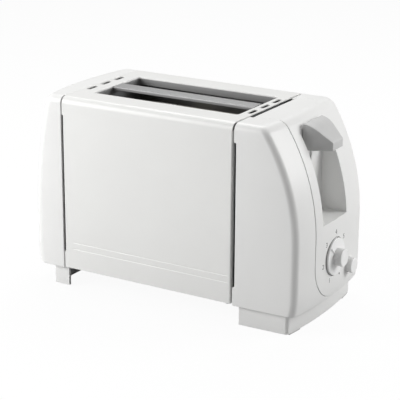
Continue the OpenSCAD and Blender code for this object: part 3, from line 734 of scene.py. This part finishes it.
class TOASTER_OT_left_end(bpy.types.Operator):
    """Model the left moulded end"""

    bl_idname = "toaster.left_end"
    bl_label = "Left end"

    def execute(self, context):
        s = context.scene.toaster_sizes
        end = left_end()
        obj = square_cap("left_end", end, s.left_fillet, LEFT_LO.z)
        soften(obj, 0.5 * MM, 3)
        with Shaping(obj) as edit:
            edit.slice("Z", steps(LEFT_LO.z, TOP, 6 * MM))
            edit.slice("Y", steps(-HALF_W, HALF_W, 7 * MM))
            edit.slice("X", steps(LEFT_LO.x, LEFT_HI.x, 8 * MM))
        end.form(obj)
        shade(obj)
        hand_over(obj, "casing", "cap_plastic", "left_end_cap")
        return {"FINISHED"}


class TOASTER_OT_right_end(bpy.types.Operator):
    """Model the right moulded end, with the opening for the control panel"""

    bl_idname = "toaster.right_end"
    bl_label = "Right end"

    def execute(self, context):
        s = context.scene.toaster_sizes
        end = right_end()
        obj = square_cap("right_end", end, s.right_fillet, RIGHT_LO.z)
        cut(obj, panel_block(GAP, PANEL_LO.x - GAP, END_X + FAR))
        cut(obj, *seam_notches(end.seam - MM, end.seam + 2.2 * MM))
        half = 39.5 * MM
        cut(obj, block("top_notch", (end.seam - MM, -half, TOP - 4 * MM),
                       (end.seam + 3.6 * MM, half, TOP + MM)))
        soften(obj, 0.4 * MM, 3)
        with Shaping(obj) as edit:
            edit.slice("Z", steps(RIGHT_LO.z, TOP, 5 * MM))
            edit.slice("Y", steps(-HALF_W, HALF_W, 7 * MM))
            edit.slice("X", steps(end.seam, END_X, 9 * MM))
        end.form(obj)
        shade(obj)
        hand_over(obj, "casing", "cap_plastic", "right_end_cap")
        return {"FINISHED"}


class TOASTER_OT_panel(bpy.types.Operator):
    """Model the control panel with the lever's recess"""

    bl_idname = "toaster.panel"
    bl_label = "Control panel"

    def execute(self, context):
        s = context.scene.toaster_sizes
        end = right_end()
        tip = END_X + PROUD
        obj = panel_block(0, PANEL_LO.x, tip)
        obj.name = obj.data.name = "end_panel"
        cut(obj, block("trim", (PANEL_LO.x - FAR, -FAR * 2, TOP),
                       (tip + FAR, FAR * 2, TOP + FAR * 2)))
        with Shaping(obj) as edit:
            edit.round_off(s.right_fillet, 6, lambda e: along(e, "Y") and at(mid(e).z, TOP)
                           and at(mid(e).x, tip))
            edit.remove(lambda f: f.normal.z < 0.02 and f.normal.x < 0.02)
        thicken(obj, s.wall)
        soften(obj, 0.4 * MM, 3)
        with Shaping(obj) as edit:
            edit.slice("Z", steps(PANEL_LO.z, TOP, 5 * MM))
            edit.slice("Y", steps(PANEL_LO.y, PANEL_HI.y, 6.5 * MM))
            edit.slice("X", steps(PANEL_LO.x, END_X, 12 * MM))
        end.form(obj)
        half, back = s.recess_half, END_X - s.recess_back
        skin = 2.2 * MM
        walls = block("recess_walls", (back - skin, -half - skin, s.recess_floor - skin),
                      (END_X + 5 * MM, half + skin, TOP))
        # what the recess's walls may fill: the inside of the panel, up to half its wall
        side, foot, deep = half + 9 * MM, s.recess_floor - 20 * MM, 1.3 * MM
        core = block("core", (PANEL_LO.x + MM, -side, foot), (END_X - deep, side, TOP - deep))
        with Shaping(core) as edit:
            edit.slice("Z", steps(foot, TOP - deep, 5 * MM))
            edit.slice("Y", steps(-side, side, 6.5 * MM))
        end.form(core)
        combine(walls, core, "INTERSECT")
        combine(obj, walls, "UNION")
        cut(obj, block("recess", (back, -half, s.recess_floor), (END_X + FAR, half, TOP + FAR)))
        arm_half = ARM_HI.y + 0.4 * MM
        cut(obj, block("arm_slot", (back - 9 * MM, -arm_half, ARM_LO.z - 62 * MM),
                       (back + MM, arm_half, ARM_HI.z + 2 * MM)))
        cut(obj, drum("dial_hole", END_X - FAR, END_X + FAR, 0, DIAL_Z, 4 * MM, 48))
        # a shallow seat that shows as a dark ring round the dial's disc
        cut(obj, drum("dial_seat", END_X - 1.2 * MM, END_X + FAR, 0, DIAL_Z, s.dial_seat, 96))
        cut(obj, drum("button_hole", END_X - FAR, END_X + FAR, BUTTON_Y, BUTTON_Z, 7.4 * MM, 64))
        with Shaping(obj) as edit:
            edit.tidy()
        shade(obj)
        hand_over(obj, "casing", "panel_plastic", "control_panel")
        return {"FINISHED"}


class TOASTER_OT_knob(bpy.types.Operator):
    """Model the lift lever's knob"""

    bl_idname = "toaster.knob"
    bl_label = "Lever knob"

    def execute(self, context):
        s = context.scene.toaster_sizes
        x0, x1 = KNOB_LO.x, KNOB_HI.x
        bend = x0 + s.knob_flat
        obj = block("lever_grip", KNOB_LO, KNOB_HI)
        with Shaping(obj) as edit:
            edit.slice("X", [bend])
            edit.pick("VERT", lambda v: at(v.co.x, x1))
            bpy.ops.transform.resize(value=(1, s.knob_tip_half / KNOB_HI.y, 1),
                                     center_override=(0, 0, 0))
            drop = KNOB_HI.z - KNOB_LO.z - s.knob_tip_height
            edit.pick("VERT", lambda v: at(v.co.x, x1) and at(v.co.z, KNOB_HI.z))
            bpy.ops.transform.translate(value=(0, 0, -drop))
            edit.pick("VERT", lambda v: at(v.co.x, x1) and at(v.co.z, KNOB_LO.z))
            bpy.ops.transform.translate(value=(0, 0, 0.4 * MM))
            edit.round_off(9 * MM, 6, lambda e: along(e, "Y") and at(mid(e).x, bend)
                           and at(mid(e).z, KNOB_HI.z))
            edit.round_off(4 * MM, 4, lambda e: along(e, "Z") and at(mid(e).x, bend))
        cut(obj, block("socket", (x0 - MM, ARM_LO.y, ARM_LO.z), (ARM_HI.x, ARM_HI.y, ARM_HI.z)))
        soften(obj, 0.8 * MM, 3, 25)
        shade(obj, 40)
        hand_over(obj, "carriage", "knob_plastic", "lever_knob")
        return {"FINISHED"}


def ribbed(edit, axis_y, axis_z, radius, x0, x1, depth):
    """Presses every other face of a grip's side inwards."""
    mesh = bmesh.from_edit_mesh(edit.obj.data)
    mesh.faces.index_update()
    sides = []
    for face in mesh.faces:
        c = middle(face)
        spread = math.hypot(c.y - axis_y, c.z - axis_z)
        if x0 < c.x < x1 and abs(spread - radius) < 0.4 * MM and abs(face.normal.x) < 0.2:
            sides.append((math.atan2(c.z - axis_z, c.y - axis_y), face.index))
    chosen = {index for _, index in sorted(sides)[::2]}
    edit.pick("FACE", lambda f: f.index in chosen)
    bpy.ops.mesh.inset(thickness=0.12 * MM, depth=-depth, use_individual=True)


class TOASTER_OT_dial(bpy.types.Operator):
    """Model the browning dial with its ribbed grip and pointer"""

    bl_idname = "toaster.dial"
    bl_label = "Browning dial"

    def execute(self, context):
        s = context.scene.toaster_sizes
        z, radius = DIAL_Z, (DIAL_HI.z - DIAL_LO.z) / 2
        x0 = DIAL_LO.x
        x1 = x0 + s.disc_thickness
        obj = drum("browning_knob", x0, x1, 0, z, radius, 2 * s.ribs)
        with Shaping(obj) as edit:
            edit.round_off(0.5 * MM, 3, lambda e: at(mid(e).x, x1))
            edit.pick("FACE", lambda f: f.normal.x > 0.99)
            inner = radius - 2.9 * MM
            edit.step_in((1.2, 0), (1.2, 0.15), ((inner - s.grip_radius) / MM, 0.1))
            edit.pick("FACE", lambda f: f.normal.x > 0.99
                      and math.hypot(middle(f).y, middle(f).z - z) < MM)
            edit.draw_out(DIAL_HI.x - x1 - 0.75 * MM)
            edit.step_in((0.7, 0.5), (1, -0.3))
            ribbed(edit, 0, z, s.grip_radius, x1 + 2 * MM, DIAL_HI.x - 1.5 * MM, 0.42 * MM)
        # pointer on the disc and a line on the grip, turned to the middle setting
        angle = math.radians(138)
        pointer = block("pointer", (x1 - 0.5 * MM, s.grip_radius - MM, z - 0.8 * MM),
                        (x1 + 1.1 * MM, radius - 1.6 * MM, z + 0.8 * MM))
        line = block("grip_line", (DIAL_HI.x - 1.4 * MM, 1.5 * MM, z - 0.5 * MM),
                     (DIAL_HI.x - 0.3 * MM, s.grip_radius - 1.4 * MM, z + 0.5 * MM))
        for part in (pointer, line):
            for vertex in part.data.vertices:
                y, h = vertex.co.y, vertex.co.z - z
                vertex.co.y = y * math.cos(angle) - h * math.sin(angle)
                vertex.co.z = z + y * math.sin(angle) + h * math.cos(angle)
            soften(part, 0.3 * MM, 2)
            combine(obj, part, "UNION")
        cut(obj, drum("shaft_hole", x0 - MM, x0 + 5 * MM, 0, z, 3.0 * MM, 48))
        shade(obj, 30)
        hand_over(obj, "dial", "dial_plastic", "browning_dial")
        return {"FINISHED"}


class TOASTER_OT_button(bpy.types.Operator):
    """Model the cancel button"""

    bl_idname = "toaster.button"
    bl_label = "Cancel button"

    def execute(self, context):
        y, z, radius = BUTTON_Y, BUTTON_Z, 7 * MM
        back = END_X - 6 * MM
        obj = drum("cancel_cap", back, BUTTON_HI.x - 0.4 * MM, y, z, radius, 72)
        with Shaping(obj) as edit:
            edit.pick("FACE", lambda f: f.normal.x > 0.99)
            edit.step_in((0.35, 0.25), (0.8, 0.15), (2, -0.35))
            ribs = END_X + 0.8 * MM, BUTTON_HI.x - 1.3 * MM
            edit.slice("X", ribs)
            ribbed(edit, y, z, radius, *ribs, 0.35 * MM)
            edit.pick("FACE", lambda f: f.normal.x < -0.99)
            edit.draw_out(-0.2 * MM)
            edit.step_in((4.5, 0))
            edit.draw_out(BUTTON_LO.x - back + 0.2 * MM)
        collar = drum("collar", back - 1.6 * MM, back, y, z, (BUTTON_HI.z - BUTTON_LO.z) / 2, 72)
        combine(obj, collar, "UNION")
        shade(obj, 30)
        hand_over(obj, "cancel", "button_plastic", "cancel_button")
        return {"FINISHED"}


class TOASTER_OT_marks(bpy.types.Operator):
    """Print the numbers round the dial and the dot beside the button"""

    bl_idname = "toaster.marks"
    bl_label = "Dial numbers"

    def execute(self, context):
        s = context.scene.toaster_sizes
        x, film = END_X + PROUD, 0.03 * MM
        parts = []
        for word, degrees in (("1", 246), ("2", 190), ("3", 138), ("4", 87), ("5", 37)):
            angle = math.radians(degrees)
            clear()
            bpy.ops.object.text_add(rotation=(math.pi / 2, 0, math.pi / 2), location=(
                x, s.mark_radius * math.cos(angle), DIAL_Z + s.mark_radius * math.sin(angle)))
            label = bpy.context.object
            label.data.body = word
            label.data.size = s.mark_height * 1.35
            label.data.align_x = "CENTER"
            label.data.align_y = "CENTER"
            label.data.extrude = film
            bpy.ops.object.convert(target="MESH")
            parts.append(settle("number"))
        angle = math.radians(298)
        for dot_y, dot_z, r in (
            (s.mark_radius * math.cos(angle), DIAL_Z + s.mark_radius * math.sin(angle), 0.9 * MM),
            (BUTTON_Y - 3.5 * MM, BUTTON_Z + 9.4 * MM, 0.8 * MM),
        ):
            parts.append(drum("dot", x - film, x + film, dot_y, dot_z, r, 20))
        obj = weld("dial_numbers", parts)
        with Shaping(obj) as edit:
            edit.tidy()
        right_end().form(obj)
        hand_over(obj, "casing", "dark_plastic", material=coloured("ink"))
        return {"FINISHED"}


class TOASTER_OT_feet(bpy.types.Operator):
    """Model the two foot skirts"""

    bl_idname = "toaster.feet"
    bl_label = "Foot skirts"

    def execute(self, context):
        s = context.scene.toaster_sizes
        wall = 2.8 * MM
        lo, hi = LEFT_FOOT_LO, LEFT_FOOT_HI
        left = block("left_foot", lo, hi)
        with Shaping(left) as edit:
            edit.round_off(1.2 * MM, 4, lambda e: along(e, "Z") and at(mid(e).x, lo.x))
            edit.remove(lambda f: abs(f.normal.z) > 0.9 or f.normal.x > 0.9)
        thicken(left, wall)
        reach = LEFT_HI.x - 0.3 * MM
        for side in (-1, 1):
            y0, y1 = side * HALF_W - 12 * MM, side * HALF_W + 12 * MM
            cut(left, block("hem_room", (reach, y0, SHELL_LO.z - 0.3 * MM),
                            (hi.x + MM, y1, hi.z + MM)))
        soften(left, 0.5 * MM, 3)
        shade(left)
        hand_over(left, "casing", "skirt_plastic", "left_foot_skirt")

        lo, hi = RIGHT_FOOT_LO, RIGHT_FOOT_HI
        half = HALF_W - 2.9 * MM
        right = block("right_foot", (lo.x, -half, lo.z), (hi.x, half, hi.z))
        with Shaping(right) as edit:
            edit.round_off(3 * MM, 5, lambda e: along(e, "Z") and at(mid(e).x, hi.x))
            edit.remove(lambda f: abs(f.normal.z) > 0.9 or f.normal.x < -0.9)
        thicken(right, wall)
        gland_x = (GLAND_LO.x + GLAND_HI.x) / 2
        gland_z = (GLAND_LO.z + GLAND_HI.z) / 2
        cut(right, drum("cord_hole", 0, HALF_W, gland_x, gland_z, 5.6 * MM, 48, axis="Y"))
        soften(right, 0.5 * MM, 3)
        with Shaping(right) as edit:
            edit.slice("Y", steps(-HALF_W, HALF_W, 7 * MM))
            edit.slice("X", steps(lo.x, hi.x, 9 * MM))
        end = End(RIGHT_LO.x, hi.x, s.right_bulge, s.right_lean, s.right_upright)
        end.toe_height = 0
        end.form(right)
        shade(right)
        hand_over(right, "casing", "skirt_plastic", "right_foot_skirt")
        return {"FINISHED"}


class TOASTER_OT_spring(bpy.types.Operator):
    """Model the lift spring as one fixed coil; the real spring shortens as the carriage goes down
    """

    bl_idname = "toaster.spring"
    bl_label = "Lift spring"

    def execute(self, context):
        lo, hi = SPRING_LO, SPRING_HI
        wire, turns, travel, seat = 0.6 * MM, 14, 60 * MM, 0.6 * MM
        radius = (hi.x - lo.x) / 2 - wire
        clear()
        bpy.ops.mesh.primitive_circle_add(vertices=8, radius=wire, rotation=(math.pi / 2, 0, 0),
                                          location=(radius, 0, lo.z + wire))
        obj = settle("return_spring")
        apply(obj, "SCREW", steps=24, render_steps=24, iterations=turns,
              screw_offset=(hi.z - lo.z - 2 * wire) / turns, use_merge_vertices=False)
        with Shaping(obj) as edit:
            for end in (lo.z + wire, hi.z - wire):
                edit.pick("EDGE", lambda e: e.is_boundary and at(mid(e).z, end, 2 * wire))
                bpy.ops.mesh.edge_face_add()
            bpy.ops.mesh.select_all(action="SELECT")
            bpy.ops.transform.translate(value=((lo.x + hi.x) / 2, (lo.y + hi.y) / 2, 0))
        shade(obj, 60)
        hand_over(obj, "casing", "spring_steel", "lift_spring")
        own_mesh(obj)
        return {"FINISHED"}


class TOASTER_OT_inside(bpy.types.Operator):
    """Give the inner parts of the frame their finishes"""

    bl_idname = "toaster.inside"
    bl_label = "Inner finishes"

    def execute(self, context):
        for row in frame["record"]["subparts"]:
            mesh = frame["nodes"][row["node"]].data
            mesh.materials.clear()
            mesh.materials.append(slot_finish(row["material_slot"]))
        return {"FINISHED"}


def soft_light(name, place, target, width, height, power):
    """A rectangular studio light aimed at a point."""
    light = bpy.data.lights.new(name, "AREA")
    light.shape = "RECTANGLE"
    light.size, light.size_y = width, height
    light.energy = power
    obj = bpy.data.objects.new(name, light)
    bpy.context.scene.collection.objects.link(obj)
    obj.location = place
    obj.rotation_mode = "QUATERNION"
    obj.rotation_quaternion = (Vector(target) - Vector(place)).to_track_quat("-Z", "Y")


def white_to_camera(nodes, links, shader, port, glow, output, share):
    """Lets the camera see a plain white where everything else sees the shader."""
    path = nodes.new("ShaderNodeLightPath")
    part = nodes.new("ShaderNodeMath")
    part.operation = "MULTIPLY"
    part.inputs[1].default_value = share
    links.new(path.outputs["Is Camera Ray"], part.inputs[0])
    mix = nodes.new("ShaderNodeMixShader")
    links.new(part.outputs["Value"], mix.inputs["Fac"])
    links.new(shader.outputs[port], mix.inputs[1])
    links.new(glow.outputs[0], mix.inputs[2])
    links.new(mix.outputs["Shader"], output.inputs["Surface"])


def camera_turn(around, above, tilt):
    """A camera's rotation from its angles round the object, above it and about its own axis."""
    turn, rise, roll = math.radians(around), math.radians(above), math.radians(tilt)
    back = Vector((math.sin(turn) * math.cos(rise), -math.cos(turn) * math.cos(rise),
                   math.sin(rise)))
    side = Vector((math.cos(turn), math.sin(turn), 0))
    up = back.cross(side)
    right = math.cos(roll) * side + math.sin(roll) * up
    return Matrix((right, back.cross(right), back)).transposed().to_quaternion()


class TOASTER_OT_stage(bpy.types.Operator):
    """Set up the pale floor, the soft studio lights and the camera"""

    bl_idname = "toaster.stage"
    bl_label = "Studio"

    def execute(self, context):
        scene = context.scene
        clear()
        bpy.ops.mesh.primitive_plane_add(size=12, location=(0, 0, 0))
        floor = settle("studio_floor")
        material = coloured("floor")
        nodes, links = material.node_tree.nodes, material.node_tree.links
        glow = nodes.new("ShaderNodeEmission")
        glow.inputs["Strength"].default_value = 1.05
        white_to_camera(nodes, links, nodes["Principled BSDF"], "BSDF", glow,
                        nodes["Material Output"], 0.9)
        floor.data.materials.append(material)

        world = bpy.data.worlds.new("studio")
        world.use_nodes = True
        scene.world = world
        nodes, links = world.node_tree.nodes, world.node_tree.links
        nodes["Background"].inputs["Color"].default_value = (1, 1, 1, 1)
        nodes["Background"].inputs["Strength"].default_value = 0.25
        backdrop = nodes.new("ShaderNodeBackground")
        backdrop.inputs["Color"].default_value = (1, 1, 1, 1)
        backdrop.inputs["Strength"].default_value = 1.2
        white_to_camera(nodes, links, nodes["Background"], "Background", backdrop,
                        nodes["World Output"], 1)

        middle = (0, 0, 0.1)
        soft_light("left_softbox", (-0.85, -0.8, 0.55), middle, 0.7, 0.8, 15)
        soft_light("right_softbox", (1.15, 0.75, 0.65), middle, 0.8, 0.9, 15)
        soft_light("top_softbox", (-0.35, 0.7, 1.35), middle, 1.0, 1.0, 12)

        camera = bpy.data.cameras.new("camera")
        camera.sensor_width = 36
        camera.lens = 129.8
        obj = bpy.data.objects.new("camera", camera)
        scene.collection.objects.link(obj)
        obj.location = (0.6539, -1.0999, 0.4988)
        obj.rotation_mode = "QUATERNION"
        obj.rotation_quaternion = camera_turn(30.75, 17.87, 0.34)
        scene.camera = obj
        scene.view_settings.view_transform = "Standard"
        return {"FINISHED"}


class TOASTER_PT_panel(bpy.types.Panel):
    """Lists the toaster's pieces in the sidebar"""

    bl_label = "Pop-up toaster"
    bl_idname = "TOASTER_PT_panel"
    bl_space_type = "VIEW_3D"
    bl_region_type = "UI"
    bl_category = "Toaster"

    def draw(self, context):
        for operator in OPERATORS:
            self.layout.operator(operator.bl_idname)
        for group in (context.scene.toaster_sizes, context.scene.toaster_colours):
            box = self.layout.box()
            for key in group.__annotations__:
                box.prop(group, key)


OPERATORS = (
    TOASTER_OT_stage,
    TOASTER_OT_inside,
    TOASTER_OT_shell,
    TOASTER_OT_divider,
    TOASTER_OT_liner,
    TOASTER_OT_left_end,
    TOASTER_OT_right_end,
    TOASTER_OT_panel,
    TOASTER_OT_knob,
    TOASTER_OT_dial,
    TOASTER_OT_button,
    TOASTER_OT_marks,
    TOASTER_OT_feet,
    TOASTER_OT_spring,
)
CLASSES = (ToasterSizes, ToasterColours, *OPERATORS, TOASTER_PT_panel)


def register():
    for cls in CLASSES:
        bpy.utils.register_class(cls)
    bpy.types.Scene.toaster_sizes = PointerProperty(type=ToasterSizes)
    bpy.types.Scene.toaster_colours = PointerProperty(type=ToasterColours)


def unregister():
    del bpy.types.Scene.toaster_colours
    del bpy.types.Scene.toaster_sizes
    for cls in reversed(CLASSES):
        bpy.utils.unregister_class(cls)


def main():
    register()
    for operator in OPERATORS:
        group, name = operator.bl_idname.split(".")
        getattr(getattr(bpy.ops, group), name)()
    clear()


if __name__ == "__main__":
    main()
